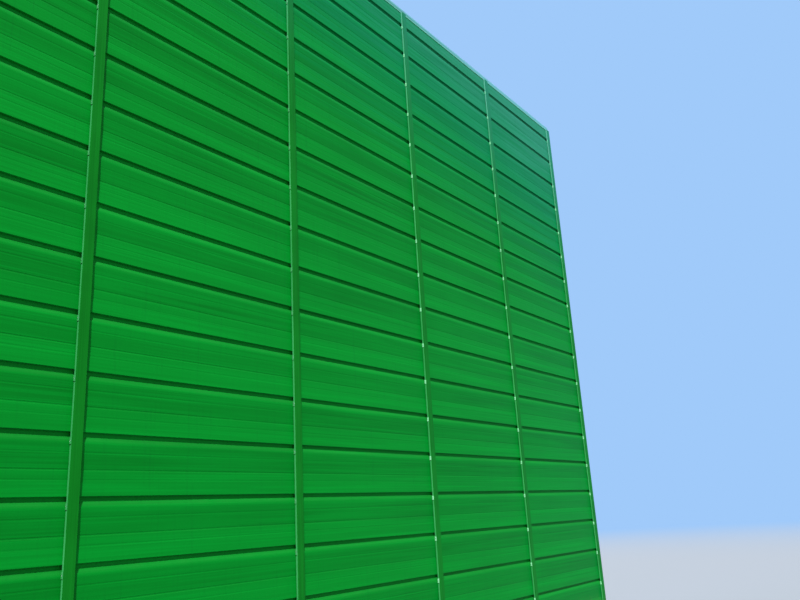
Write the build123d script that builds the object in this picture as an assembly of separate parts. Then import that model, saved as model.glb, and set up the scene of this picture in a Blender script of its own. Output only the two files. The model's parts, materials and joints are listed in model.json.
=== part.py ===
from build123d import *
import os

# Acoustic barrier wall, six bays between seven posts, in millimetres.
# X runs along the wall, the visible front faces -Y, Z is up.
# The origin is on the underside of the middle post's base plate.

# Row of bays
bay = 2500.0
bay_count = 6

# Rolled H-section post
post_depth = 125.0
flange_width = 90.0
flange_t = 8.0
web_t = 6.0
root_r = 8.0

# Base plate, its anchor holes and its stiffeners
plate_width = 260.0
plate_depth = 300.0
plate_t = 20.0
anchor_hole_d = 24.0
anchor_edge = 35.0
stiffener_t = 10.0
stiffener_height = 160.0
stiffener_toe = 15.0
stiffener_edge_gap = 12.0
stiffener_spacing = 60.0

# Stacked panel: ribbed steel faces on a closed box, pressed back by a strip in front of it
panel_count = 18
panel_pitch = 500.0
panel_end_gap = 14.0
panel_joint_gap = 0.4
panel_back_gap = 0.3
strip_space = 24.0

# Shadow joint: a lip along the bottom of each panel, over the sloping shoulder of the next
lip_height = 26.0
recess_depth = 24.0
neck_height = 10.0
shoulder_height = 40.0
lip_r = 5.0
shoulder_r = 60.0

# The face folds in a shallow valley, with a groove in it and one on each side
valley_below_middle = 18.0
valley_depth = 8.0
groove_width = 18.0
groove_floor = 8.0
valley_groove_depth = 1.8
rib_groove_depth = 1.0
rib_groove_lift = 25.0

# Half-height panel that closes the top, and the folded coping over it and the posts
top_panel_height = 250.0
cap_t = 3.0
cap_height = 82.0
cap_overlap = 31.0
cap_gap = 0.5
cap_joint_gap = 2.0
hem_height = 12.0
post_top_gap = 0.3

# Folded strip that fills the space between a front flange and the panels, the full height
strip_t = 2.5
strip_bend_r = 3.5
strip_inset = 6.0
strip_gap = 0.3

# Pressed clip on the outer face of each strip, below each joint
clip_height = 50.0
clip_drop = 22.0
clip_t = 2.0
clip_bend_r = 3.0
clip_reach = 5.5
clip_side_gap = 0.5
clip_gap = 0.3

# Rubber strip under the lowest panel, from plate to plate
seal_t = 50.0
seal_gap = 0.3
seal_end_gap = 0.5

# Places worked out from the sizes above
post_count = bay_count + 1
post_x = [bay * (i - bay_count // 2) for i in range(post_count)]
bay_x = [(post_x[i] + post_x[i + 1]) / 2 for i in range(bay_count)]
flange_inside = post_depth / 2 - flange_t
panel_back = flange_inside - panel_back_gap
panel_front = strip_space - flange_inside
panel_t = panel_back - panel_front
panel_mid_y = (panel_front + panel_back) / 2
panel_end = web_t / 2 + panel_end_gap
panel_length = bay - 2 * panel_end
shoulder_z = panel_pitch - neck_height - shoulder_height
valley_z = panel_pitch / 2 - valley_below_middle
lower_groove_z = (lip_height + valley_z) / 2 + rib_groove_lift
upper_groove_z = (valley_z + shoulder_z) / 2 + rib_groove_lift
stack_top = plate_t + panel_count * panel_pitch
top_panel_top = stack_top + top_panel_height
cap_bottom = top_panel_top - cap_overlap
cap_top = cap_bottom + cap_height
post_top = cap_bottom - post_top_gap
post_height = post_top - plate_t


def post(x):
    """One H-section post, with its flanges parallel to the wall."""
    flange_y = (post_depth - flange_t) / 2
    section = Rectangle(web_t, post_depth)
    section += Pos(0, flange_y) * Rectangle(flange_width, flange_t)
    section += Pos(0, -flange_y) * Rectangle(flange_width, flange_t)
    roots = [
        v for v in section.vertices()
        if abs(abs(v.X) - web_t / 2) < 0.01 and abs(abs(v.Y) - flange_inside) < 0.01
    ]
    section = fillet(roots, root_r)
    return Pos(x, 0, plate_t) * extrude(section, post_height)


def stiffener(x, side):
    """A welded fin from the plate up the post's outer face, on one side of the wall."""
    inner = post_depth / 2
    outer = plate_depth / 2 - stiffener_edge_gap
    outline = Polyline(
        (inner, 0), (outer, 0), (outer, stiffener_toe),
        (inner + stiffener_toe, stiffener_height), (inner, stiffener_height), close=True,
    )
    fin = extrude(make_face(outline), stiffener_t / 2, both=True)
    turned = Rot(0, 0, 90 * side) * (Rot(90, 0, 0) * fin)
    return Pos(x, 0, plate_t) * turned


def base_plate(x):
    """A plate with four anchor holes and two stiffeners on each side of the post."""
    plate = Pos(x, 0, plate_t / 2) * Box(plate_width, plate_depth, plate_t)
    for side in (-1, 1):
        for dx in (-stiffener_spacing / 2, stiffener_spacing / 2):
            plate += stiffener(x + dx, side)
    spacing_x = plate_width - 2 * anchor_edge
    spacing_y = plate_depth - 2 * anchor_edge
    for place in GridLocations(spacing_x, spacing_y, 2, 2):
        plate -= Pos(x, 0, plate_t / 2) * place * Cylinder(anchor_hole_d / 2, 2 * plate_t)
    return plate


def face_depth(z):
    """How far the valley-shaped face lies behind its proudest line at height z."""
    if z > valley_z:
        return valley_depth * (shoulder_z - z) / (shoulder_z - valley_z)
    return valley_depth * (z - lip_height) / (valley_z - lip_height)


def groove_points(z, depth):
    """Four points of one groove, from its lower edge to its upper edge."""
    low, high = z - groove_width / 2, z + groove_width / 2
    floor_low, floor_high = z - groove_floor / 2, z + groove_floor / 2
    return [
        (face_depth(low), low),
        (face_depth(floor_low) + depth, floor_low),
        (face_depth(floor_high) + depth, floor_high),
        (face_depth(high), high),
    ]


def panel_face():
    """A panel's face from bottom to top, as depth behind the proudest line and height."""
    points = [(recess_depth, 0), (recess_depth, lip_height), (0, lip_height)]
    points += groove_points(lower_groove_z, rib_groove_depth)
    points += groove_points(valley_z, valley_groove_depth)
    points += groove_points(upper_groove_z, rib_groove_depth)
    points += [(0, shoulder_z), (recess_depth, panel_pitch - neck_height)]
    return points + [(recess_depth, panel_pitch - panel_joint_gap)]


def round_proud(section, z, radius):
    """Rounds the section's proudest corners at height z, in front and behind."""
    corners = [
        v for v in section.vertices()
        if abs(abs(v.X - panel_mid_y) - panel_t / 2) < 0.01 and abs(v.Y - z) < 0.01
    ]
    return fillet(corners, radius)


def closed_section(points):
    """A section with the same face in front and behind, and rounded lower lips."""
    front = [(panel_front + depth, z) for depth, z in points]
    back = [(panel_back - depth, z) for depth, z in reversed(points)]
    section = make_face(Polyline(*front, *back, close=True))
    return round_proud(section, lip_height, lip_r)


def along_bay(section, x, z, length):
    """A section in Y and Z, drawn as X and Y, stood up and run along one bay."""
    solid = extrude(section, length / 2, both=True)
    return Pos(x, 0, z) * (Rot(0, 0, 90) * (Rot(90, 0, 0) * solid))


def top_panel(x):
    """The half-height panel on top of the stack, with a plain face."""
    points = [
        (recess_depth, 0), (recess_depth, lip_height), (0, lip_height), (0, top_panel_height),
    ]
    return along_bay(closed_section(points), x, stack_top, panel_length)


def panel_stack(x):
    """The stacked panels of one bay with the half-height one on top, each its own solid."""
    section = round_proud(closed_section(panel_face()), shoulder_z, shoulder_r)
    one = along_bay(section, 0, 0, panel_length)
    rows = [Pos(x, 0, plate_t + row * panel_pitch) * one for row in range(panel_count)]
    return Compound(children=[*rows, top_panel(x)])


def top_cap(index):
    """One bay's length of coping, with hemmed legs, from post centre to post centre."""
    inside = panel_t + 2 * cap_gap
    outside = inside + 2 * cap_t
    middle = Pos(panel_mid_y, cap_bottom + cap_height / 2)
    section = middle * RectangleRounded(outside, cap_height, cap_t / 2)
    hems = Rectangle(outside + 2 * cap_t, hem_height)
    section += Pos(panel_mid_y, cap_bottom + hem_height / 2) * hems
    section -= middle * Pos(0, -cap_t) * Rectangle(inside, cap_height)
    left, right = post_x[index] + cap_joint_gap / 2, post_x[index + 1] - cap_joint_gap / 2
    if index == 0:
        left = post_x[0] - flange_width / 2
    if index == bay_count - 1:
        right = post_x[-1] + flange_width / 2
    return along_bay(section, (left + right) / 2, 0, right - left)


def folded_section(start, end, near, far, thickness, bend_r):
    """A folded channel seen from above, open towards the post and closed at its far end."""
    middle = Pos((start + end) / 2, (near + far) / 2)
    outer = middle * Rectangle(end - start, far - near)
    bends = [v for v in outer.vertices() if v.X > end - 0.01]
    outer = fillet(bends, bend_r)
    inner = Pos(-thickness, 0) * middle * Rectangle(end - start, far - near - 2 * thickness)
    return outer - inner


def held_sides(index, right):
    """A piece on the right of a post and its mirror image, on the sides that hold a panel."""
    left = mirror(right, about=Plane.YZ)
    return ([right] if index < bay_count else []) + ([left] if index > 0 else [])


def edge_strips(index):
    """The strips of one post, flush with the edges of its front flange."""
    section = folded_section(
        panel_end + strip_inset, flange_width / 2,
        strip_gap - flange_inside, panel_front - strip_gap, strip_t, strip_bend_r,
    )
    strip = Pos(0, 0, plate_t) * extrude(section, post_height)
    return Compound(children=[Pos(post_x[index], 0, 0) * s for s in held_sides(index, strip)])


def clip_column(index):
    """All clips of one post: one under each joint, on the outer face of each strip."""
    start = flange_width / 2 + clip_gap
    section = folded_section(
        start, start + clip_reach,
        clip_side_gap - flange_inside, panel_front - clip_side_gap, clip_t, clip_bend_r,
    )
    held = held_sides(index, extrude(section, clip_height))
    clips = []
    for row in range(panel_count):
        z = plate_t + (row + 1) * panel_pitch - clip_drop - clip_height
        clips += [Pos(post_x[index], 0, z) * clip for clip in held]
    return Compound(children=clips)


def ground_seals():
    """The rubber strips that fill the slots under the lowest panels, one in each bay."""
    length = bay - plate_width - 2 * seal_end_gap
    height = plate_t - seal_gap
    one = Pos(0, panel_mid_y, height / 2) * Box(length, seal_t, height)
    return Compound(children=[Pos(x, 0, 0) * one for x in bay_x])


def save(name, shape):
    export_step(shape, f"parts/{name}.step")


os.makedirs("parts", exist_ok=True)
for i, x in enumerate(post_x, start=1):
    save(f"post_{i}", post(x))
    save(f"base_plate_{i}", base_plate(x))
    save(f"edge_strips_{i}", edge_strips(i - 1))
    save(f"panel_clips_{i}", clip_column(i - 1))
for i, x in enumerate(bay_x, start=1):
    save(f"panels_bay_{i}", panel_stack(x))
    save(f"top_cap_{i}", top_cap(i - 1))
save("ground_seals", ground_seals())
print("wall length", post_x[-1] - post_x[0] + flange_width, "height", cap_top)
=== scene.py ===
# %% [markdown]
# # A green acoustic barrier wall
# The real wall is a row of steel H-section posts, with ribbed sound panels dropped one on
# another between them and a folded coping over the top. The imported model already holds every
# post, plate, panel, coping, clip and seal at its real size, so this script leaves their shapes
# alone. It adds what is too small for the construction model, such as anchors, welds and rivets,
# and gives each surface its finish.
#
# First the imported model is loaded, and its box is kept. Its box is kept, because the dressed
# wall may not grow past it by more than a few millimetres.

# %% Load the imported model
import json
import math

import bpy
from mathutils import Matrix, Vector


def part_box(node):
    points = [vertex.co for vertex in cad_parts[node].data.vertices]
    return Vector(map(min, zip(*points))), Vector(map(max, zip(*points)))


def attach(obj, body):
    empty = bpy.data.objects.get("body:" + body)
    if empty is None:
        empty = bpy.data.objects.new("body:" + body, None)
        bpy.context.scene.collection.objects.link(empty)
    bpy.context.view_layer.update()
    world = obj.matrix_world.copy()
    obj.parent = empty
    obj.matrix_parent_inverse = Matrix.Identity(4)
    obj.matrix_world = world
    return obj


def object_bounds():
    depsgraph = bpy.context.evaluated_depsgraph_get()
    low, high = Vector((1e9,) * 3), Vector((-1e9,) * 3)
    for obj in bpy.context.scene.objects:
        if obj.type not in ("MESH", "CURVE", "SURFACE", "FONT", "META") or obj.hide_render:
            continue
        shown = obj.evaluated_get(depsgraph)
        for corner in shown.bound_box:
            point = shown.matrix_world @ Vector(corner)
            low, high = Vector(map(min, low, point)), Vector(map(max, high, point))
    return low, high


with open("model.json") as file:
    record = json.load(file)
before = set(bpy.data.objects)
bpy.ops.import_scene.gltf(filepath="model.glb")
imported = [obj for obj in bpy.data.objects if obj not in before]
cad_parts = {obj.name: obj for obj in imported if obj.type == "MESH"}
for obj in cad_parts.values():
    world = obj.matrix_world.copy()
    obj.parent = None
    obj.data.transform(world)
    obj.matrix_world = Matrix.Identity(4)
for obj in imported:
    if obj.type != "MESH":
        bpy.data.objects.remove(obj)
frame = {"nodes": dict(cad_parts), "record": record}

cad_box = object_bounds()
print("packed nodes:", len(frame["nodes"]), "box:", [tuple(corner) for corner in cad_box])

# %% [markdown]
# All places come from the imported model, so nothing has to be fitted by eye. Nodes of one kind
# are numbered along the wall, and a post's underside is the top of its base plate.

# %% Read the wall's places
ROW_HEIGHT = 0.5


def nodes_of(kind):
    """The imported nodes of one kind, from the left end of the wall to the right."""
    return [frame["nodes"][name] for name in sorted(frame["nodes"]) if name.startswith(kind)]


def centre_of(name):
    low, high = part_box(name)
    return (low + high) / 2


post_centres = [centre_of(post.name) for post in nodes_of("post_")]
wall_start = post_centres[0].x
bay_length = post_centres[1].x - wall_start
plate_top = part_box("post_1")[0].z
rows_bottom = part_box("panels_bay_1")[0].z
print(f"bays of {bay_length:.3f} m, rows of {ROW_HEIGHT} m, plates up to {plate_top:.3f} m")

# %% [markdown]
# ## Camera
# The camera stands at eye height close to the wall and looks along it, so the rows run
# together towards the far end. Its place and angles were worked out from the lines of the
# rows and posts, then written here as real lengths and degrees. Building the matrix from
# four plain steps, move, turn, tilt and roll, is easier to follow than one set of Euler angles.

# %% Camera
SENSOR_MM = 36.0
LENS_MM = 34.219
EYE = Vector((-5.8695, -5.7072, 1.742))
TURN_DEG = 54.196
TILT_DEG = 16.005
ROLL_DEG = -3.340


def start_clean():
    """Object mode with nothing selected, because an operator acts on all that is selected."""
    if bpy.context.mode != "OBJECT":
        bpy.ops.object.mode_set(mode="OBJECT")
    bpy.ops.object.select_all(action="DESELECT")


def only(piece):
    """Object mode with this piece active and alone selected."""
    start_clean()
    piece.select_set(True)
    bpy.context.view_layer.objects.active = piece


start_clean()
bpy.ops.object.camera_add()
camera = bpy.context.object
camera.data.sensor_width = SENSOR_MM
camera.data.lens = LENS_MM
camera.matrix_world = (
    Matrix.Translation(EYE)
    @ Matrix.Rotation(-math.radians(TURN_DEG), 4, "Z")
    @ Matrix.Rotation(math.radians(90 + TILT_DEG), 4, "X")
    @ Matrix.Rotation(math.radians(ROLL_DEG), 4, "Z")
)
bpy.context.scene.camera = camera
print("camera at", tuple(EYE))

# %% [markdown]
# ## Light
# The light falls steeply from the upper left. That is what makes each lip throw a dark line on
# the panel below, gives each post one bright side and one thin shadow, and brightens the lower
# half of a panel, which leans back a little. A second, weak lamp reaches the back, and the
# world fills in the rest. Together they light a colour to about the value it is written with.
#
# The lamp's direction is written as three lengths that can be read off the wall. For one metre
# out from the wall it goes so far along it and so far up.

# %% Light
KEY_FROM = Vector((-1.2, -1.0, 1.72))
KEY_STRENGTH = 4.2
KEY_SIZE_DEG = 3.0
FILL_FROM = Vector((0.45, 0.80, 0.40))
FILL_STRENGTH = 1.5
FILL_SIZE_DEG = 40.0
SKY_COLOUR = (0.86, 0.93, 1.0, 1.0)
SKY_STRENGTH = 0.56


def sun_lamp(name, shines_from, strength, size_deg):
    bpy.ops.object.light_add(type="SUN", rotation=shines_from.to_track_quat("Z", "Y").to_euler())
    lamp = bpy.context.object
    lamp.name = name
    lamp.data.energy = strength
    lamp.data.angle = math.radians(size_deg)


sun_lamp("key_light", KEY_FROM, KEY_STRENGTH, KEY_SIZE_DEG)
sun_lamp("fill_light", FILL_FROM, FILL_STRENGTH, FILL_SIZE_DEG)
bpy.context.scene.view_settings.view_transform = "Standard"
print("two lamps")

# %% [markdown]
# ## Nodes
# Every finish below is a tree of shader nodes. Small helpers keep those trees readable: one
# adds a node and fills or links its sockets, one does arithmetic between sockets, and the
# others add up, blend, mask or stretch what goes into them.

# %% Helpers for shader nodes
def fill(tree, made, inputs):
    """Links each named or numbered input of a node to an output, or sets it to a value."""
    for socket, value in inputs.items():
        if isinstance(value, bpy.types.NodeSocket):
            tree.links.new(value, made.inputs[socket])
        else:
            made.inputs[socket].default_value = value
    return made


def node(tree, kind, inputs=None, **settings):
    """Adds a shader node with its settings and its inputs."""
    made = tree.nodes.new("ShaderNode" + kind)
    for name, value in settings.items():
        setattr(made, name, value)
    return fill(tree, made, inputs or {})


def maths(tree, operation, *values, clamp=False):
    """One arithmetic step between sockets or numbers."""
    made = node(tree, "Math", dict(enumerate(values)), operation=operation, use_clamp=clamp)
    return made.outputs[0]


def weighted(tree, *parts, start=0.0):
    """The start value plus each part times its weight."""
    for value, weight in parts:
        start = maths(tree, "MULTIPLY_ADD", value, weight, start)
    return start


def opposite(tree, mask):
    """The mask turned over: 1 where it was 0."""
    return maths(tree, "SUBTRACT", 1.0, mask)


def blend_colours(tree, share, first, second):
    """A colour that runs from the first to the second as the share goes from 0 to 1."""
    made = node(tree, "Mix", {0: share, 6: first, 7: second}, data_type="RGBA")
    return made.outputs[2]


def between(tree, value, low, high, most=1.0):
    """A soft mask that is 0 below the low value and reaches its most above the high one."""
    made = node(tree, "MapRange", {0: value, 1: low, 2: high, 4: most},
                interpolation_type="SMOOTHSTEP")
    return made.outputs[0]


def noise(tree, vector, scale, detail=2.0, roughness=0.5):
    """Cloudy noise from 0 to 1."""
    made = node(tree, "TexNoise", {"Vector": vector, "Scale": scale, "Detail": detail,
                                   "Roughness": roughness})
    return made.outputs[0]


def stretched(tree, vector, x, y, z):
    """Coordinates scaled by a different amount along each axis."""
    made = node(tree, "Mapping", {"Vector": vector, "Scale": (x, y, z)})
    return made.outputs[0]


def colour(red, green, blue):
    """A colour as seen on screen, from 0 to 255, turned into the linear values that nodes use."""
    def linear(value):
        share = value / 255
        return share / 12.92 if share <= 0.04045 else ((share + 0.055) / 1.055) ** 2.4
    return (linear(red), linear(green), linear(blue), 1.0)


print("node helpers ready")

# %% [markdown]
# ## Surroundings
# The background is a pale sky blue to the camera and in reflections, so satin paint picks up
# a little blue where it is seen at a low angle. The light that the world sends onto the wall
# stays at its own plain level. Light Path tells the two apart.

# %% World
BACKDROP = colour(160, 202, 250)


def seen_directly(tree):
    """1 for rays that show the surroundings, straight, in a reflection or through glass."""
    path = node(tree, "LightPath")
    seen = maths(tree, "MAXIMUM", path.outputs["Is Camera Ray"], path.outputs["Is Glossy Ray"])
    return maths(tree, "MAXIMUM", seen, path.outputs["Is Transmission Ray"])


world = bpy.data.worlds.new("studio")
bpy.context.scene.world = world
world.use_nodes = True
sky = world.node_tree
sky.nodes.clear()
sky_light = node(sky, "Background", {"Color": SKY_COLOUR, "Strength": SKY_STRENGTH})
sky_shown = node(sky, "Background", {"Color": BACKDROP, "Strength": 1.0})
sky_mix = node(sky, "MixShader", {0: seen_directly(sky), 1: sky_light.outputs[0],
                                  2: sky_shown.outputs[0]})
node(sky, "OutputWorld", {"Surface": sky_mix.outputs[0]})
print("world made")

# %% [markdown]
# ## Floor
# The wall stands on a plain pale floor. Far out, the floor fades to the background, so no
# horizon line crosses the picture. A pale floor this wide would throw so much light up under
# the lips that their shadows would wash out, so to the light that it sends on it is darker than
# to the eye. It is a stage, and not part of the wall.

# %% Floor
FLOOR_RADIUS = 260.0
FLOOR_SIDES = 128
FLOOR_GAP = 0.0005
FLOOR_SEEN = colour(156, 162, 170)
FLOOR_BOUNCE = colour(124, 124, 120)
FADE_FROM = 18.0
FADE_TO = 60.0


def new_material(name):
    """An empty material: its node tree and its output node."""
    material = bpy.data.materials.new(name)
    material.use_nodes = True
    material.node_tree.nodes.clear()
    return material, material.node_tree, material.node_tree.nodes.new("ShaderNodeOutputMaterial")


start_clean()
bpy.ops.mesh.primitive_circle_add(vertices=FLOOR_SIDES, radius=FLOOR_RADIUS, fill_type="NGON",
                                  location=(0, 0, -FLOOR_GAP))
floor = bpy.context.object
floor.name = "studio_floor"
bpy.ops.object.transform_apply(location=True)

floor_material, tree, output = new_material("floor_pale")
place = node(tree, "TexCoord").outputs["Object"]
distance = node(tree, "VectorMath", {0: place}, operation="LENGTH").outputs["Value"]
seen = seen_directly(tree)
matt = node(tree, "BsdfPrincipled", {"Base Color": blend_colours(tree, seen, FLOOR_BOUNCE,
                                                                 FLOOR_SEEN),
                                     "Roughness": 0.9, "Specular IOR Level": 0.2})
far = node(tree, "Emission", {"Color": BACKDROP, "Strength": 1.0})
fade = maths(tree, "MULTIPLY", between(tree, distance, FADE_FROM, FADE_TO), seen)
faded = node(tree, "MixShader", {0: fade, 1: matt.outputs[0], 2: far.outputs[0]})
tree.links.new(faded.outputs[0], output.inputs["Surface"])
floor.data.materials.append(floor_material)
print("floor made")

# %% [markdown]
# ## Effects that several finishes share
# Painted panels, painted posts and the bare fasteners all stand in the same weather. Each
# effect is a node group with named inputs, built once and placed in each material with its
# own values. A group gives out masks and heights only, and the shader stays in the material.

# %% Start a node group
def new_group(name, inputs, outputs):
    """A shader node group: its tree, its incoming sockets and the node that takes its results."""
    group = bpy.data.node_groups.new(name, "ShaderNodeTree")
    for socket, kind in inputs.items():
        group.interface.new_socket(name=socket, in_out="INPUT", socket_type="NodeSocket" + kind)
    for socket in outputs:
        group.interface.new_socket(name=socket, in_out="OUTPUT", socket_type="NodeSocketFloat")
    given = group.nodes.new("NodeGroupInput").outputs
    results = group.nodes.new("NodeGroupOutput").inputs
    return group, given, results


def use_group(tree, group, inputs):
    """Places a group in a tree, fills its inputs and gives back its outputs."""
    return node(tree, "Group", inputs, node_tree=group).outputs


print("group helpers ready")

# %% [markdown]
# Weather leaves three marks. Dust settles where a surface faces up. Rain draws thin runs down
# it. Splashed soil dirties the lowest part. Dust follows the surface's normal, runs follow a
# noise that is drawn out downwards, and soil follows the height.

# %% Weather
DUST_FACES_UP = (0.1, 0.85)
DUST_CLOUDS = 6.0
RUN_GRAIN_UP = 0.7
RUN_EDGE = (0.52, 0.78)
SPLASH_FADES = (-0.35, 0.65)
SPLASH_CLOUDS = 9.0
SPLASH_ROUGHNESS = 0.7
SPATTER_DOTS = 70.0
SPATTER_EDGE = (0.42, 0.60)
SPATTER_SHARE = 0.55

weather, given, results = new_group(
    "weather",
    {"Place": "Vector", "Normal": "Vector", "Run Width": "Float", "Splash Height": "Float"},
    ["Dust", "Runs", "Splash"],
)
up = node(weather, "SeparateXYZ", {0: given["Normal"]}).outputs["Z"]
height = node(weather, "SeparateXYZ", {0: given["Place"]}).outputs["Z"]
cloud = noise(weather, given["Place"], DUST_CLOUDS, detail=4.0)
dust = maths(weather, "MULTIPLY", between(weather, up, *DUST_FACES_UP), cloud)
weather.links.new(dust, results["Dust"])
across = maths(weather, "DIVIDE", 1.0, given["Run Width"])
narrow = node(weather, "CombineXYZ", {0: across, 1: across, 2: RUN_GRAIN_UP}).outputs[0]
run_place = node(weather, "VectorMath", {0: given["Place"], 1: narrow}, operation="MULTIPLY")
run_noise = noise(weather, run_place.outputs[0], 1.0, detail=3.0, roughness=0.6)
weather.links.new(between(weather, run_noise, *RUN_EDGE), results["Runs"])
rough_edge = noise(weather, given["Place"], SPLASH_CLOUDS, detail=5.0)
reach = maths(weather, "DIVIDE", height, given["Splash Height"])
reach = weighted(weather, (rough_edge, -SPLASH_ROUGHNESS), start=reach)
splash = opposite(weather, between(weather, reach, *SPLASH_FADES))
dots = noise(weather, given["Place"], SPATTER_DOTS, detail=6.0, roughness=0.7)
dots = between(weather, dots, *SPATTER_EDGE, SPATTER_SHARE)
spatter = maths(weather, "ADD", 1.0 - SPATTER_SHARE, dots)
weather.links.new(maths(weather, "MULTIPLY", splash, spatter), results["Splash"])
print("weather group made")

# %% [markdown]
# Sprayed paint is never quite flat: close up it has the fine dimples called orange peel, and
# under it the sheet or the rolled steel is a little wavy. Both are heights in metres, so that
# the finish has the same depth whatever it is placed on.

# %% Paint skin
paint_skin, given, results = new_group(
    "paint_skin",
    {"Place": "Vector", "Peel Size": "Float", "Peel Depth": "Float", "Wave Place": "Vector",
     "Wave Depth": "Float"},
    ["Height"],
)
fine = maths(paint_skin, "DIVIDE", 1.0, given["Peel Size"])
peel = maths(paint_skin, "MULTIPLY", noise(paint_skin, given["Place"], fine), given["Peel Depth"])
wave = maths(paint_skin, "MULTIPLY", noise(paint_skin, given["Wave Place"], 1.0, detail=3.0),
             given["Wave Depth"])
paint_skin.links.new(maths(paint_skin, "ADD", peel, wave), results["Height"])
print("paint skin group made")

# %% [markdown]
# Rust starts at cut edges, welds and threads. It is a broken mask from one noise, whose coarse
# clouds say where it is and whose finer detail breaks up its edge.

# %% Rust
RUST_EDGE = 0.12

rust, given, results = new_group("rust", {"Place": "Vector", "Patch Size": "Float",
                                          "Amount": "Float"}, ["Mask"])
coarse = noise(rust, given["Place"], maths(rust, "DIVIDE", 1.0, given["Patch Size"]), detail=6.0,
               roughness=0.65)
edge = opposite(rust, given["Amount"])
mask = between(rust, coarse, edge, maths(rust, "ADD", edge, RUST_EDGE))
rust.links.new(mask, results["Mask"])
print("rust group made")

# %% [markdown]
# This group gives the share of painted sky glare: a paler, bluer tone that stands in for the
# sky's glare on the paint. It is strongest at the top of the right end and fades down the wall
# and towards the left. A weak sheen in the shader adds a little real sky at a low angle. The
# group adds up height and length, and squares the sum, so that the painted glare starts gently.

# %% Painted sky glare
GLARE_PER_METRE_UP = 0.25
GLARE_PER_METRE_ALONG = 0.048
GLARE_AT_TOP_RIGHT = 1.13
GLARE_BREAK_UP = 0.5
# The shader's own low specular and weak sky-tinted sheen, which are not painted.
LOW_SHEEN_FINISH = {"Specular IOR Level": 0.06, "Sheen Weight": 0.06, "Sheen Roughness": 0.4,
          "Sheen Tint": colour(70, 160, 255)}

wall_end = post_centres[-1].x
wall_top = cad_box[1][2]
sky_glare, given, results = new_group("sky_glare", {"Place": "Vector", "Streaks": "Float"}, ["Share"])
x, _, z = node(sky_glare, "SeparateXYZ", {0: given["Place"]}).outputs
streak = maths(sky_glare, "SUBTRACT", given["Streaks"], 0.5)
spread = weighted(sky_glare, (maths(sky_glare, "SUBTRACT", x, wall_end), GLARE_PER_METRE_ALONG),
                  (maths(sky_glare, "SUBTRACT", z, wall_top), GLARE_PER_METRE_UP),
                  (streak, GLARE_BREAK_UP), start=GLARE_AT_TOP_RIGHT)
spread = maths(sky_glare, "MAXIMUM", spread, 0.0)
sky_glare.links.new(maths(sky_glare, "MULTIPLY", spread, spread, clamp=True), results["Share"])
print("chalk group made")

# %% [markdown]
# ## Steps that every finish repeats
# A finish starts from the object's coordinates and normal. The weather's marks are laid over
# its colour, each up to a share of its own. A height in metres becomes a bump, and the shader
# takes the colour, the roughness, the bump and whatever else that finish sets on it.

# %% Start, stain and shade a finish
def surface(tree):
    """The object's own coordinates and the normal, for everything that follows the surface."""
    coordinates = node(tree, "TexCoord").outputs
    return coordinates["Object"], coordinates["Normal"]


def weathered(tree, place, normal, run_width, splash_height=0.3):
    """The weather's marks, with runs of this width and soil splashed up to this height."""
    return use_group(tree, weather, {"Place": place, "Normal": normal, "Run Width": run_width,
                                     "Splash Height": splash_height})


def stained(tree, base, mask, most, stain):
    """The colour with a stain over it where the mask says, up to a share."""
    return blend_colours(tree, maths(tree, "MULTIPLY", mask, most), base, stain)


def skin_height(tree, place, peel_size, peel_depth, wave_place, wave_depth):
    """The height of a sprayed skin over a slightly wavy sheet."""
    return use_group(tree, paint_skin, {"Place": place, "Peel Size": peel_size,
                                        "Peel Depth": peel_depth, "Wave Place": wave_place,
                                        "Wave Depth": wave_depth})["Height"]


def shade(tree, output, base, rough, height, more=None):
    """The shader and its bump, at the end of every finish."""
    bump = node(tree, "Bump", {"Height": height, "Strength": 1.0, "Distance": 1.0})
    shader = node(tree, "BsdfPrincipled", {"Base Color": base, "Roughness": rough,
                                           "Normal": bump.outputs[0], **(more or {})})
    tree.links.new(shader.outputs[0], output.inputs["Surface"])


def dress(kind, material):
    """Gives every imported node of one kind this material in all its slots."""
    pieces = nodes_of(kind)
    for piece in pieces:
        if not piece.data.materials:
            piece.data.materials.append(material)
        for number in range(len(piece.data.materials)):
            piece.data.materials[number] = material
    print(f"{material.name} on {len(pieces)} nodes of {kind}")


print("finish helpers ready")

# %% [markdown]
# ## Panel paint
# The panels are roll-formed from coil in one green. Each panel comes from another stretch of
# coil, so its tone differs a little from its neighbours. Along a panel run faint streaks from
# the rollers. Rows and bays are counted from the object's own coordinates, and a white-noise
# value for each pair gives the panel its tone. The lower half of a panel leans back a little,
# and it is painted lighter as painted light, fading out above the valley. A band near the top
# of each panel gets a painted highlight, and the sloping shoulder under the next lip gets
# painted shade. Some streaks are paler. Weak painted sky glare turns the green bluer, and
# strong painted sky glare makes it pale as well.
#
# A grain is how often a noise repeats in one metre, along the wall, through it and up it. The
# painted light fades and the painted highlight rises at shares of a panel's height.

# %% Panel paint
PANEL_GREEN = colour(0, 135, 36)
PANEL_DEEP = colour(0, 117, 28)
# Colours of the painted sky glare, weak and strong.
PANEL_WEAK_GLARE = colour(0, 134, 104)
PANEL_STRONG_GLARE = colour(46, 147, 111)
# The colour of the painted light and painted highlight on each panel, and of its pale streaks.
STREAK_AND_PAINTED_LIGHT_GREEN = colour(0, 152, 44)
# The colour of the painted shade on the shoulder under each lip.
SHOULDER_SHADE_GREEN = colour(0, 84, 26)
DUST_GREEN = colour(92, 138, 88)
RUN_GREEN = colour(4, 96, 32)
SOIL = colour(120, 108, 82)
FINE_GRAIN = (0.5, 0.5, 70.0)
ROLL_GRAIN = (0.7, 0.7, 24.0)
WIDE_GRAIN = (0.3, 0.3, 9.0)
SHEET_WAVES = (1.3, 1.3, 7.0)
SHEET_WAVE_DEPTH = 0.0012
ROLLER_DEPTH = 0.0003
CLOUD_GRAIN = 0.7
COIL_PEEL_SIZE = 0.0015
COIL_PEEL_DEPTH = 0.00002
TONE_EDGE = (0.42, 0.86)
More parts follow.
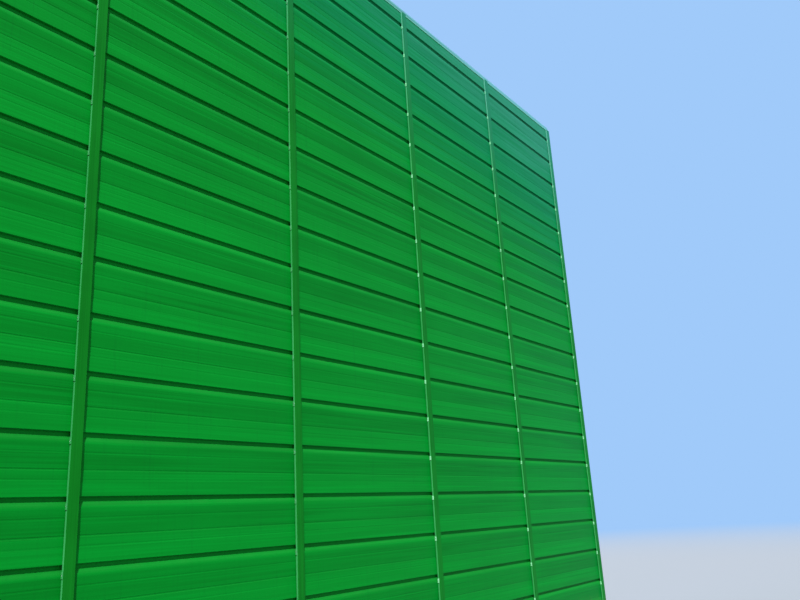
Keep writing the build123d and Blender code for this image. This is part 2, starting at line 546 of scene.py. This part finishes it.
# Shares and heights of the painted light, of the painted highlight and of the pale streaks.
LOW_HALF_PAINTED_LIGHT = 0.30
LOW_HALF_LIGHT_FADES = (0.36, 0.58)
TOP_PAINTED_HIGHLIGHT = 0.14
TOP_HIGHLIGHT_RISES = (0.74, 0.90)
PALE_STREAK_SHARE = 0.35
PALE_STREAK_EDGE = (0.95, 1.25)
GLARE_STRENGTHENS = (0.2, 1.0)
# Painted shade on the shoulder: how far the normal tilts up, and its share.
SHOULDER_TILT = (0.12, 0.45)
SHOULDER_PAINTED_SHADE = 0.12


def panel_paint():
    material, tree, output = new_material("panel_paint_green")
    place, normal = surface(tree)
    x, _, z = node(tree, "SeparateXYZ", {0: place}).outputs
    bays = maths(tree, "DIVIDE", maths(tree, "SUBTRACT", x, wall_start), bay_length)
    rows = maths(tree, "DIVIDE", maths(tree, "SUBTRACT", z, rows_bottom), ROW_HEIGHT)
    panel = node(tree, "CombineXYZ", {0: maths(tree, "FLOOR", bays),
                                      1: maths(tree, "FLOOR", rows)})
    tone = node(tree, "TexWhiteNoise", {"Vector": panel.outputs[0]}, noise_dimensions="2D")
    shift = node(tree, "VectorMath", {0: place, 1: tone.outputs["Color"]}, operation="ADD")
    on_coil = shift.outputs[0]

    fine_streaks = noise(tree, stretched(tree, on_coil, *FINE_GRAIN), 1.0, detail=4.0)
    roll_marks = noise(tree, stretched(tree, on_coil, *ROLL_GRAIN), 1.0, detail=3.0)
    wide_streaks = noise(tree, stretched(tree, on_coil, *WIDE_GRAIN), 1.0, detail=2.0)
    clouds = noise(tree, place, CLOUD_GRAIN, detail=3.0)
    share = weighted(tree, (tone.outputs["Value"], 0.15), (fine_streaks, 0.3),
                     (wide_streaks, 0.25), (roll_marks, 0.4), (clouds, 0.3))
    base = blend_colours(tree, between(tree, share, *TONE_EDGE), PANEL_DEEP, PANEL_GREEN)

    up_the_panel = maths(tree, "FRACT", rows)
    # Painted light on the lower half of each panel and a painted highlight near its top, with
    # pale streaks added.
    low_half_light = maths(tree, "SUBTRACT", LOW_HALF_PAINTED_LIGHT,
                     between(tree, up_the_panel, *LOW_HALF_LIGHT_FADES, LOW_HALF_PAINTED_LIGHT))
    top_highlight = between(tree, up_the_panel, *TOP_HIGHLIGHT_RISES, TOP_PAINTED_HIGHLIGHT)
    both_streaks = maths(tree, "ADD", wide_streaks, fine_streaks)
    pale_streaks = between(tree, both_streaks, *PALE_STREAK_EDGE, PALE_STREAK_SHARE)
    streaks_and_painted_light = maths(tree, "ADD", maths(tree, "ADD", low_half_light, top_highlight), pale_streaks)
    base = blend_colours(tree, streaks_and_painted_light, base, STREAK_AND_PAINTED_LIGHT_GREEN)

    # Painted sky glare: bluer where weak, bluer and paler where strong.
    glare_share = use_group(tree, sky_glare, {"Place": place, "Streaks": roll_marks})["Share"]
    strong_glare = between(tree, glare_share, *GLARE_STRENGTHENS)
    glare_tone = blend_colours(tree, strong_glare, PANEL_WEAK_GLARE, PANEL_STRONG_GLARE)
    base = blend_colours(tree, glare_share, base, glare_tone)
    # Painted shade on the shoulder, where the normal tilts up under the next lip.
    up = node(tree, "SeparateXYZ", {0: normal}).outputs["Z"]
    shoulder_shade = between(tree, up, *SHOULDER_TILT, SHOULDER_PAINTED_SHADE)
    base = blend_colours(tree, shoulder_shade, base, SHOULDER_SHADE_GREEN)

    marks = weathered(tree, place, normal, run_width=0.03, splash_height=0.35)
    base = stained(tree, base, marks["Runs"], 0.18, RUN_GREEN)
    base = stained(tree, base, marks["Dust"], 0.15, DUST_GREEN)
    base = stained(tree, base, marks["Splash"], 0.45, SOIL)

    rough = weighted(tree, (wide_streaks, 0.12), (marks["Dust"], 0.25), start=0.46)
    skin = skin_height(tree, place, COIL_PEEL_SIZE, COIL_PEEL_DEPTH,
                       stretched(tree, on_coil, *SHEET_WAVES), SHEET_WAVE_DEPTH)
    shade(tree, output, base, rough, weighted(tree, (fine_streaks, ROLLER_DEPTH), start=skin),
          LOW_SHEEN_FINISH)
    return material


dress("panels_bay_", panel_paint())

# %% [markdown]
# ## Coping paint
# The folded coping along the top came in a paler, bluer green. The hem along its lower edge
# and its top bends get painted highlights, two bright lines with a duller face between.
# Towards the right end the painted sky glare makes the whole face pale. A little rust has run
# from the joints between two lengths, but not from the wall's own ends.

# %% Coping paint
COPING_GREEN = colour(84, 158, 144)
COPING_DEEP = colour(72, 146, 132)
# Colour of the painted sky glare on the coping.
COPING_GLARE = colour(116, 190, 204)
# Painted highlights on the hem and on the top bends.
HEM_HIGHLIGHT = colour(116, 204, 178)
BEND_HIGHLIGHT = colour(130, 196, 212)
RUST_DARK = colour(92, 52, 28)
RUST_LIGHT = colour(140, 82, 42)
RUST_GRAINS = 160.0
COPING_GRAIN = (0.8, 30.0, 60.0)
COPING_BLOTCHES = 5.0
COPING_TONE_EDGE = (0.40, 0.60)
COPING_DUST = 1.4
COPING_WAVES = (1.5, 9.0, 9.0)
COPING_WAVE_DEPTH = 0.001
COPING_GLARE_RISES = (0.6, 1.15)
HEM_TOP = 0.014
BEND_DEPTH = 0.024
FADE_WIDTH = 0.006
RUST_REACH = 0.05
coping_low, coping_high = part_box("top_cap_1")


def rust_mix(tree, place, grains):
    """Grains of dark and light rust."""
    return blend_colours(tree, noise(tree, place, grains, detail=3.0), RUST_DARK, RUST_LIGHT)


def near_joints(tree, x):
    """1 at the joint of two lengths of coping, fading to 0 a little way off."""
    joints = maths(tree, "DIVIDE", maths(tree, "SUBTRACT", x, wall_start), bay_length)
    distance = maths(tree, "MULTIPLY", maths(tree, "PINGPONG", joints, 0.5), bay_length)
    near = opposite(tree, between(tree, distance, 0.0, RUST_REACH))
    last_joint = wall_end - bay_length
    inner = maths(tree, "COMPARE", maths(tree, "ABSOLUTE", x), 0.0, last_joint + RUST_REACH)
    return maths(tree, "MULTIPLY", near, inner)


def coping_paint():
    material, tree, output = new_material("coping_paint_pale")
    place, normal = surface(tree)
    x, _, z = node(tree, "SeparateXYZ", {0: place}).outputs
    streaks = noise(tree, stretched(tree, place, *COPING_GRAIN), 1.0, detail=4.0)
    blotches = noise(tree, place, COPING_BLOTCHES, detail=4.0)
    share = weighted(tree, (streaks, 0.5), (blotches, 0.5))
    toned = between(tree, share, *COPING_TONE_EDGE)
    base = blend_colours(tree, toned, COPING_DEEP, COPING_GREEN)
    # Painted sky glare, pale towards the right end.
    glare_share = use_group(tree, sky_glare, {"Place": place, "Streaks": streaks})["Share"]
    base = blend_colours(tree, between(tree, glare_share, *COPING_GLARE_RISES), base, COPING_GLARE)
    # Painted highlights: a bright band on the hem and one on the top bends.
    hem = coping_low.z + HEM_TOP
    bend = coping_high.z - BEND_DEPTH
    on_hem = opposite(tree, between(tree, z, hem, hem + FADE_WIDTH))
    base = blend_colours(tree, on_hem, base, HEM_HIGHLIGHT)
    base = blend_colours(tree, between(tree, z, bend, bend + FADE_WIDTH), base, BEND_HIGHLIGHT)

    marks = weathered(tree, place, normal, run_width=0.02)
    base = stained(tree, base, marks["Runs"], 0.2, COPING_DEEP)
    dusty = maths(tree, "MULTIPLY", marks["Dust"], COPING_DUST, clamp=True)
    base = blend_colours(tree, dusty, base, DUST_GREEN)
    worn = use_group(tree, rust, {"Place": place, "Patch Size": 0.05, "Amount": 0.5})
    rusty = maths(tree, "MULTIPLY", worn["Mask"], near_joints(tree, x))
    base = blend_colours(tree, rusty, base, rust_mix(tree, place, RUST_GRAINS))
    rough = weighted(tree, (blotches, 0.2), start=0.4)
    skin = skin_height(tree, place, COIL_PEEL_SIZE, COIL_PEEL_DEPTH,
                       stretched(tree, place, *COPING_WAVES), COPING_WAVE_DEPTH)
    shade(tree, output, base, rough, skin, {**LOW_SHEEN_FINISH, "Specular IOR Level": 0.1})
    return material


coping_material = coping_paint()
dress("top_cap_", coping_material)

# %% [markdown]
# ## Post paint
# The posts are hot-rolled sections, sprayed by hand in a slightly darker, yellower green. The
# paint ran a little as it dried, so its streaks are upright. Near the ground it is scuffed and
# a little rust shows through at the plates and their welds. The folded strips beside the
# flanges get the same recipe in a lighter green, which is painted sunlight on their sides, so
# one function makes both paints. Both also take the painted sky glare.

# %% Post paint
POST_GREEN = colour(12, 127, 30)
POST_DEEP = colour(8, 112, 24)
# Colour of the painted sky glare on the posts.
POST_GLARE = colour(40, 140, 108)
# Painted sunlight: the strips are a lighter green than the posts, so their sides look lit.
STRIP_SUNLIT_GREEN = colour(66, 170, 96)
STRIP_SUNLIT_DEEP = colour(54, 156, 82)
# Colour of the painted sky glare on the strips, over their painted sunlight.
STRIP_SUNLIT_GLARE = colour(98, 180, 158)
SPRAY_GRAIN = (55.0, 55.0, 0.9)
SPRAY_CLOUDS = 1.6
SPRAY_TONE_EDGE = (0.36, 0.62)
SPRAY_PEEL_SIZE = 0.0022
SPRAY_PEEL_DEPTH = 0.00005
STEEL_WAVES = (14.0, 14.0, 3.0)
STEEL_WAVE_DEPTH = 0.0006
RUST_FADES_UP = (0.02, 0.45)
RUST_PIT_DEPTH = 0.0002


def post_paint(name, green, deep, glare_green):
    material, tree, output = new_material(name)
    place, normal = surface(tree)
    z = node(tree, "SeparateXYZ", {0: place}).outputs["Z"]
    streaks = noise(tree, stretched(tree, place, *SPRAY_GRAIN), 1.0, detail=4.0)
    clouds = noise(tree, place, SPRAY_CLOUDS, detail=4.0)
    share = weighted(tree, (streaks, 0.5), (clouds, 0.5))
    base = blend_colours(tree, between(tree, share, *SPRAY_TONE_EDGE), deep, green)
    # Painted sky glare.
    glare_share = use_group(tree, sky_glare, {"Place": place, "Streaks": streaks})["Share"]
    base = blend_colours(tree, glare_share, base, glare_green)

    marks = weathered(tree, place, normal, run_width=0.012)
    low = opposite(tree, between(tree, z, *RUST_FADES_UP))
    worn = use_group(tree, rust, {"Place": place, "Patch Size": 0.03, "Amount": 0.44})
    rusty = maths(tree, "MULTIPLY", worn["Mask"], low)
    base = stained(tree, base, marks["Runs"], 0.25, deep)
    base = stained(tree, base, marks["Dust"], 0.5, DUST_GREEN)
    base = blend_colours(tree, rusty, base, rust_mix(tree, place, RUST_GRAINS))
    base = stained(tree, base, marks["Splash"], 0.5, SOIL)

    rough = weighted(tree, (streaks, 0.15), (rusty, 0.4), start=0.42)
    skin = skin_height(tree, place, SPRAY_PEEL_SIZE, SPRAY_PEEL_DEPTH,
                       stretched(tree, place, *STEEL_WAVES), STEEL_WAVE_DEPTH)
    shade(tree, output, base, rough, weighted(tree, (rusty, -RUST_PIT_DEPTH), start=skin),
          LOW_SHEEN_FINISH)
    return material


post_material = post_paint("post_paint_green", POST_GREEN, POST_DEEP, POST_GLARE)
dress("post_", post_material)
dress("base_plate_", post_material)
dress("edge_strips_", post_paint("strip_paint_painted_sunlight", STRIP_SUNLIT_GREEN, STRIP_SUNLIT_DEEP, STRIP_SUNLIT_GLARE))

# %% [markdown]
# ## Clips
# The pressed clips are dipped in a glossy green. On the right half of the wall they get a
# painted glint, a pale colour that makes them small bright marks, dimmer near the top where
# the painted sky glare is strong. On the left half they keep a green like the wall's own,
# under the painted sky glare. Dip paint draws back from sharp edges and gathers in drops,
# which shows as soft patches of a second tone.

# %% Clip finish
# Painted glint colours, bright and dimmed by the painted sky glare, then the clips' own green.
CLIP_GLINT = colour(156, 244, 186)
CLIP_DIM_GLINT = colour(116, 208, 172)
CLIP_GREEN = colour(62, 160, 90)
PATCHES = 90.0
PATCH_EDGE = (0.4, 0.6)
PATCH_SHADE = 0.25
GLINT_DIMS = (0.3, 1.0)
# Where along the wall the painted glint starts and where it is full.
NO_GLINT_UP_TO = -1.0
FULL_GLINT_FROM = 2.6
DIP_PEEL_SIZE = 0.001
DIP_PEEL_DEPTH = 0.00001
DIP_WAVES = (60.0, 60.0, 60.0)
DIP_WAVE_DEPTH = 0.0001


def clip_paint():
    material, tree, output = new_material("clip_paint_painted_glint")
    place, normal = surface(tree)
    x = node(tree, "SeparateXYZ", {0: place}).outputs["X"]
    patches = noise(tree, place, PATCHES, detail=2.0)
    marks = weathered(tree, place, normal, run_width=0.008)
    shaded = between(tree, patches, *PATCH_EDGE, PATCH_SHADE)
    # Painted glint: none on the left, full on the right, broken by the patches.
    glint = maths(tree, "SUBTRACT", between(tree, x, NO_GLINT_UP_TO, FULL_GLINT_FROM), shaded, clamp=True)
    glare_share = use_group(tree, sky_glare, {"Place": place, "Streaks": patches})["Share"]
    green_clip = blend_colours(tree, glare_share, CLIP_GREEN, STRIP_SUNLIT_GLARE)
    pale = blend_colours(tree, between(tree, glare_share, *GLINT_DIMS), CLIP_GLINT, CLIP_DIM_GLINT)
    base = blend_colours(tree, glint, green_clip, pale)
    base = stained(tree, base, marks["Dust"], 0.4, DUST_GREEN)
    skin = skin_height(tree, place, DIP_PEEL_SIZE, DIP_PEEL_DEPTH,
                       stretched(tree, place, *DIP_WAVES), DIP_WAVE_DEPTH)
    shade(tree, output, base, weighted(tree, (patches, 0.16), start=0.22), skin)
    return material


dress("panel_clips_", clip_paint())

# %% [markdown]
# ## Rubber seal
# A black strip closes the slot under the lowest panel. Extruded rubber has fine lines along
# its length and holds grey dust on top.

# %% Rubber
RUBBER_BLACK = colour(30, 30, 30)
RUBBER_GREY = colour(74, 72, 66)
RUBBER_GRAIN = (1.0, 400.0, 400.0)
RUBBER_LINE_DEPTH = 0.0003


def seal_rubber():
    material, tree, output = new_material("seal_rubber_black")
    place, normal = surface(tree)
    lines = noise(tree, stretched(tree, place, *RUBBER_GRAIN), 1.0, detail=2.0)
    marks = weathered(tree, place, normal, run_width=0.01, splash_height=0.05)
    dusty = maths(tree, "MAXIMUM", maths(tree, "MULTIPLY", marks["Splash"], 0.6), marks["Dust"])
    base = blend_colours(tree, dusty, RUBBER_BLACK, RUBBER_GREY)
    shade(tree, output, base, weighted(tree, (dusty, 0.3), start=0.6),
          maths(tree, "MULTIPLY", lines, RUBBER_LINE_DEPTH))
    return material


dress("ground_seals", seal_rubber())

# %% [markdown]
# ## Small steel that the construction model leaves out
# Anchors, welds, rivets and screws are modelled here as by hand: a primitive is added,
# shaped in edit mode, finished with a modifier and copied. One helper opens a piece in edit
# mode with just the right parts selected, because operators act on the selection.

# %% Modelling helpers
def edit(piece, kind, test):
    """Edit mode, with only the vertices, edges or faces selected whose middle passes the test."""
    only(piece)
    bpy.context.tool_settings.mesh_select_mode = [kind == k for k in ("VERT", "EDGE", "FACE")]
    mesh = piece.data
    for parts in (mesh.vertices, mesh.edges, mesh.polygons):
        parts.foreach_set("select", [False] * len(parts))
    spots = [vertex.co for vertex in mesh.vertices]
    if kind == "VERT":
        for vertex in mesh.vertices:
            vertex.select = test(vertex.co)
    elif kind == "EDGE":
        for line in mesh.edges:
            line.select = test((spots[line.vertices[0]] + spots[line.vertices[1]]) / 2)
    else:
        for face in mesh.polygons:
            face.select = test(face.center)
    bpy.ops.object.mode_set(mode="EDIT")


def settle(piece):
    """Back to object mode, with the piece's place, turn and size moved into its mesh."""
    only(piece)
    bpy.ops.object.transform_apply(location=True, rotation=True, scale=True)
    return piece


def new_cylinder(name, sides, radius, length, ends="NGON"):
    """A cylinder that stands on the ground at the origin."""
    start_clean()
    bpy.ops.mesh.primitive_cylinder_add(vertices=sides, radius=radius, depth=length,
                                        end_fill_type=ends, location=(0, 0, length / 2))
    piece = bpy.context.object
    piece.name = name
    return settle(piece)


def placed_copy(piece, matrix):
    """A copy with its own mesh, put in place by a matrix."""
    copy = piece.copy()
    copy.data = piece.data.copy()
    copy.data.transform(matrix)
    bpy.context.scene.collection.objects.link(copy)
    return copy


def joined(pieces, name):
    """Several pieces as one."""
    start_clean()
    for piece in pieces:
        piece.select_set(True)
    bpy.context.view_layer.objects.active = pieces[0]
    bpy.ops.object.join()
    pieces[0].name = name
    return pieces[0]


def hand_in(piece, material, smooth_deg=35):
    """Gives a finished piece its material, its shading and its place on the wall."""
    only(piece)
    bpy.ops.object.shade_smooth_by_angle(angle=math.radians(smooth_deg))
    piece.data.materials.clear()
    piece.data.materials.append(material)
    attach(piece, "root")


print("modelling helpers ready")

# %% [markdown]
# A thread and a weld bead have the same nature: one short ring, fat in the middle, repeated
# along a line. So one ripple is modelled, from an open cylinder whose upright edges are
# split once and whose new middle ring is scaled out. An Array modifier repeats and merges it.
# Its two open ends are then filled.

# %% A rippled rod
def rippled_rod(name, sides, root_radius, crest_radius, pitch, count):
    """A closed rod of equal ripples that stands on the origin."""
    rod = new_cylinder(name, sides, root_radius, pitch, ends="NOTHING")
    middle = pitch / 2
    edit(rod, "EDGE", lambda spot: abs(spot.z - middle) < pitch / 4)
    bpy.ops.mesh.subdivide(number_cuts=1)
    swell = crest_radius / root_radius
    edit(rod, "VERT", lambda spot: abs(spot.z - middle) < pitch / 4)
    bpy.ops.transform.resize(value=(swell, swell, 1))
    start_clean()
    array = rod.modifiers.new("ripples", "ARRAY")
    array.count = count
    array.use_relative_offset = False
    array.use_constant_offset = True
    array.constant_offset_displace = (0, 0, pitch)
    array.use_merge_vertices = True
    array.merge_threshold = pitch / 20
    bpy.context.view_layer.objects.active = rod
    bpy.ops.object.modifier_apply(modifier=array.name)
    length = pitch * count
    edit(rod, "EDGE", lambda spot: spot.z < pitch / 20 or spot.z > length - pitch / 20)
    bpy.ops.mesh.fill_holes(sides=0)
    start_clean()
    return rod


print("rippled rod helper ready")

# %% [markdown]
# ## Anchors
# Each base plate is held by four threaded studs, each with a washer and a nut. A real nut
# starts as a round bar with chamfered ends, and its six flats are cut afterwards, which
# leaves the curved corners. Bisecting a bevelled cylinder six times gives just that shape.

# %% Anchor parts
STUD_RADIUS = 0.010
STUD_ROOT = 0.0088
THREAD_PITCH = 0.0025
STUD_LENGTH = 0.062
NUT_SIDES = 6
NUT_BLANK_SIDES = 36
NUT_FLATS = 0.030
NUT_HEIGHT = 0.016
NUT_CHAMFER = 0.0016
WASHER_SIDES = 32
WASHER_RADIUS = 0.0185
WASHER_THICKNESS = 0.003
WASHER_EDGE = 0.0006
THREAD_SIDES = 16
TINY = 1e-6


def chamfered(piece, offset):
    """Bevels the two end rims of an upright cylinder."""
    top = max(vertex.co.z for vertex in piece.data.vertices)
    edit(piece, "EDGE", lambda spot: spot.z < TINY or spot.z > top - TINY)
    bpy.ops.mesh.bevel(offset=offset, segments=1)
    start_clean()
    return piece


def cut_flats(piece, flats, height):
    """Cuts six flats on a round blank, as on a nut or a bolt's head."""
    for turn in range(NUT_SIDES):
        angle = math.radians(360 / NUT_SIDES * turn)
        normal = Vector((math.cos(angle), math.sin(angle), 0))
        edit(piece, "FACE", lambda spot: True)
        bpy.ops.mesh.bisect(plane_co=normal * flats / 2 + Vector((0, 0, height / 2)),
                            plane_no=normal, use_fill=True, clear_outer=True)
    start_clean()
    return piece


stud = rippled_rod("stud", THREAD_SIDES, STUD_ROOT, STUD_RADIUS, THREAD_PITCH,
                   int(STUD_LENGTH / THREAD_PITCH))
nut_corner = NUT_FLATS / math.sqrt(3)
nut = chamfered(new_cylinder("nut", NUT_BLANK_SIDES, nut_corner, NUT_HEIGHT), NUT_CHAMFER)
nut = cut_flats(nut, NUT_FLATS, NUT_HEIGHT)
washer = new_cylinder("washer", WASHER_SIDES, WASHER_RADIUS, WASHER_THICKNESS)
washer = chamfered(washer, WASHER_EDGE)
print("faces of a stud, nut and washer:",
      [len(piece.data.polygons) for piece in (stud, nut, washer)])

# %% [markdown]
# The studs stand where the record's bolt pattern says. Fitters never leave two nuts at the
# same angle, so each one is turned by its own amount.

# %% Anchors on every plate
pattern = next(m for m in frame["record"]["mounts"] if m["kind"] == "bolt_pattern")["dims"]
hole_x = pattern["spacing_x_mm"] / 2000
hole_y = pattern["spacing_y_mm"] / 2000
NUT_TURN_DEG = 23


def anchors_of(number, x):
    parts = []
    for corner, (side_x, side_y) in enumerate(((-1, -1), (-1, 1), (1, -1), (1, 1))):
        spot = Vector((x + side_x * hole_x, side_y * hole_y, 0))
        turn = Matrix.Rotation(math.radians(NUT_TURN_DEG * (4 * number + corner)), 4, "Z")
        on_plate = Matrix.Translation(spot + Vector((0, 0, plate_top)))
        on_washer = Matrix.Translation(spot + Vector((0, 0, plate_top + WASHER_THICKNESS)))
        parts += [placed_copy(stud, Matrix.Translation(spot)), placed_copy(washer, on_plate),
                  placed_copy(nut, on_washer @ turn)]
    return joined(parts, f"anchors_{number}")


anchors = [anchors_of(number, centre.x) for number, centre in enumerate(post_centres, start=1)]
for piece in (stud, nut, washer):
    bpy.data.objects.remove(piece)
print("anchors on", len(anchors), "plates")

# %% [markdown]
# Anchors are hot-dip galvanised. The coat has dull crystals, some white bloom, and rust where
# the spanner scraped the corners.

# %% Anchor finish
ZINC = colour(168, 172, 172)
ZINC_SHADE = colour(122, 128, 130)
ZINC_CRYSTALS = 260.0
ZINC_RUST_GRAINS = 300.0
ZINC_GRIT = 700.0
ZINC_GRIT_DEPTH = 0.00012


def galvanised():
    material, tree, output = new_material("anchor_zinc")
    place = surface(tree)[0]
    crystals = node(tree, "TexVoronoi", {"Vector": place, "Scale": ZINC_CRYSTALS})
    crystal = node(tree, "SeparateColor", {0: crystals.outputs["Color"]}).outputs[0]
    base = blend_colours(tree, crystal, ZINC_SHADE, ZINC)
    rusty = use_group(tree, rust, {"Place": place, "Patch Size": 0.012, "Amount": 0.42})["Mask"]
    base = blend_colours(tree, rusty, base, rust_mix(tree, place, ZINC_RUST_GRAINS))
    metal = weighted(tree, (rusty, -0.85), start=0.9)
    rough = weighted(tree, (rusty, 0.4), start=0.42)
    grit = maths(tree, "MULTIPLY", noise(tree, place, ZINC_GRIT, detail=3.0), ZINC_GRIT_DEPTH)
    shade(tree, output, base, rough, grit, {"Metallic": metal})
    return material


anchor_material = galvanised()
for piece in anchors:
    hand_in(piece, anchor_material)
print("anchors galvanised")

# %% [markdown]
# ## Welds
# The stiffeners are welded to the plate and to the flanges, and the post is welded to its
# plate. A fillet weld is a row of overlapping ripples in a corner, so each run is a rippled
# rod that lies half sunk in the corner. Runs of one length are modelled once.

# %% Weld runs
BEAD_SIDES = 8
BEAD_ROOT = 0.0042
BEAD_CREST = 0.0050
BEAD_RIPPLE = 0.004
BEAD_OUT = 0.0015
BEAD_SMOOTH_DEG = 60
WEB_FACE = 0.003
FIN_EDGE = 0.138
FIN_HALF = 0.005
FIN_PLACES = (-0.030, 0.030)
RUN_END_GAP = 0.005
WEB_RUN = 0.084
FLANGE_RUN = 0.040
post_low, post_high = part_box("post_1")
flange_face = post_high.y
flange_half = (post_high.x - post_low.x) / 2
fin_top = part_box("base_plate_1")[1].z
rods = {}


def weld_run(start, end):
    """A bead from one point to another, copied from a rod of the same length."""
    along = end - start
    count = round(along.length / BEAD_RIPPLE)
    if count not in rods:
        rods[count] = rippled_rod("bead", BEAD_SIDES, BEAD_ROOT, BEAD_CREST, BEAD_RIPPLE, count)
    turn = along.to_track_quat("Z", "Y").to_matrix().to_4x4()
    return placed_copy(rods[count], Matrix.Translation(start) @ turn)


def fin_runs(x, side):
    """The four beads of one stiffener, at the plate and up the flange, on both its faces."""
    runs = []
    for face in (-1, 1):
        line_x = x + face * (FIN_HALF + BEAD_OUT)
        foot_y = side * (flange_face + RUN_END_GAP)
        toe_y = side * (FIN_EDGE - RUN_END_GAP)
        low = plate_top + BEAD_OUT
        runs.append(weld_run(Vector((line_x, foot_y, low)), Vector((line_x, toe_y, low))))
        wall_y = side * (flange_face + BEAD_OUT)
        runs.append(weld_run(Vector((line_x, wall_y, plate_top + RUN_END_GAP)),
                             Vector((line_x, wall_y, fin_top - RUN_END_GAP))))
    return runs


def post_runs(side):
    """The beads of the post's own foot on one side: along its flange and along its web."""
    low = plate_top + BEAD_OUT
    flange_y = side * (flange_face + BEAD_OUT)
    flange_end, web_end = FLANGE_RUN / 2, WEB_RUN / 2
    web_x = side * (WEB_FACE + BEAD_OUT)
    return [
        weld_run(Vector((-flange_end, flange_y, low)), Vector((flange_end, flange_y, low))),
        weld_run(Vector((web_x, -web_end, low)), Vector((web_x, web_end, low))),
    ]


one_set = []
for side in (-1, 1):
    one_set += post_runs(side)
    for fin_x in FIN_PLACES:
        one_set += fin_runs(fin_x, side)
weld_set = joined(one_set, "weld_set")
for rod in rods.values():
    bpy.data.objects.remove(rod)
for number, centre in enumerate(post_centres, start=1):
    welds = placed_copy(weld_set, Matrix.Translation((centre.x, 0, 0)))
    welds.name = f"welds_{number}"
    hand_in(welds, post_material, smooth_deg=BEAD_SMOOTH_DEG)
print("faces in one plate's welds:", len(weld_set.data.polygons))
bpy.data.objects.remove(weld_set)

# %% [markdown]
# ## Rivets and screws
# The coping is riveted to the top panel, and each clip is held by one screw. A blind rivet has
# a low dome with a small pit where its pin broke off. It is half a sphere, flattened, with its
# crown inset and pushed in.

# %% A domed head
HEAD_SEGMENTS = 12
HEAD_RINGS = 8
HEAD_RADIUS = 0.0046
HEAD_HEIGHT = 0.0018
PIT_SHARE = 0.35
PIT_DEPTH = 0.0008


def domed_head(name, radius, height):
    """A low dome that stands on the origin, with a pit in its crown."""
    start_clean()
    bpy.ops.mesh.primitive_uv_sphere_add(segments=HEAD_SEGMENTS, ring_count=HEAD_RINGS,
                                         radius=radius)
    head = bpy.context.object
    head.name = name
    edit(head, "FACE", lambda spot: True)
    bpy.ops.mesh.bisect(plane_co=(0, 0, 0), plane_no=(0, 0, -1), use_fill=True, clear_outer=True)
    bpy.ops.mesh.select_all(action="SELECT")
    bpy.ops.transform.resize(value=(1, 1, height / radius), center_override=(0, 0, 0))
    edit(head, "FACE", lambda spot: spot.xy.length < radius * PIT_SHARE and spot.z > height / 2)
    bpy.ops.mesh.extrude_region_move(TRANSFORM_OT_translate={"value": (0, 0, -PIT_DEPTH)})
    start_clean()
    return head


rivet = domed_head("rivet", HEAD_RADIUS, HEAD_HEIGHT)
print("faces of a rivet:", len(rivet.data.polygons))

# %% [markdown]
# The rivets of a length of coping stand in a row just above its hem, where its legs overlap
# the top panel. The hem is proud of the leg by its own thickness. The screws stand in the
# middle of each clip's outer face, so their places are read from the clips: every clip is one
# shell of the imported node, and a row of clips repeats at the height of a panel.

# %% Rivets on the coping and screws on the clips
RIVETS_PER_LEG = 7
RIVET_END = 0.08
RIVET_LIFT = 0.021
HEM_THICKNESS = 0.003
CLIP_HEIGHT = 0.050
CLIP_ROWS = 18
FACING = {"front": Matrix.Rotation(math.radians(90), 4, "X"),
          "back": Matrix.Rotation(math.radians(-90), 4, "X"),
          "left": Matrix.Rotation(math.radians(-90), 4, "Y"),
          "right": Matrix.Rotation(math.radians(90), 4, "Y")}

for number, cap in enumerate(nodes_of("top_cap_"), start=1):
    low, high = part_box(cap.name)
    step = (high.x - low.x - 2 * RIVET_END) / (RIVETS_PER_LEG - 1)
    heads = []
    for place_number in range(RIVETS_PER_LEG):
        x = low.x + RIVET_END + step * place_number
        for facing, y in (("front", low.y + HEM_THICKNESS), ("back", high.y - HEM_THICKNESS)):
            spot = Matrix.Translation((x, y, low.z + RIVET_LIFT))
            heads.append(placed_copy(rivet, spot @ FACING[facing]))
    hand_in(joined(heads, f"cap_rivets_{number}"), coping_material)

for number, clips in enumerate(nodes_of("panel_clips_"), start=1):
    low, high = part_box(clips.name)
    post_x = post_centres[number - 1].x
    y = (low.y + high.y) / 2
    heads = []
    for row in range(CLIP_ROWS):
        z = low.z + CLIP_HEIGHT / 2 + row * ROW_HEIGHT
        if low.x < post_x - flange_half:
            heads.append(placed_copy(rivet, Matrix.Translation((low.x, y, z)) @ FACING["left"]))
        if high.x > post_x + flange_half:
            heads.append(placed_copy(rivet, Matrix.Translation((high.x, y, z)) @ FACING["right"]))
    hand_in(joined(heads, f"clip_screws_{number}"), anchor_material)
bpy.data.objects.remove(rivet)
print("rivets and screws in place")
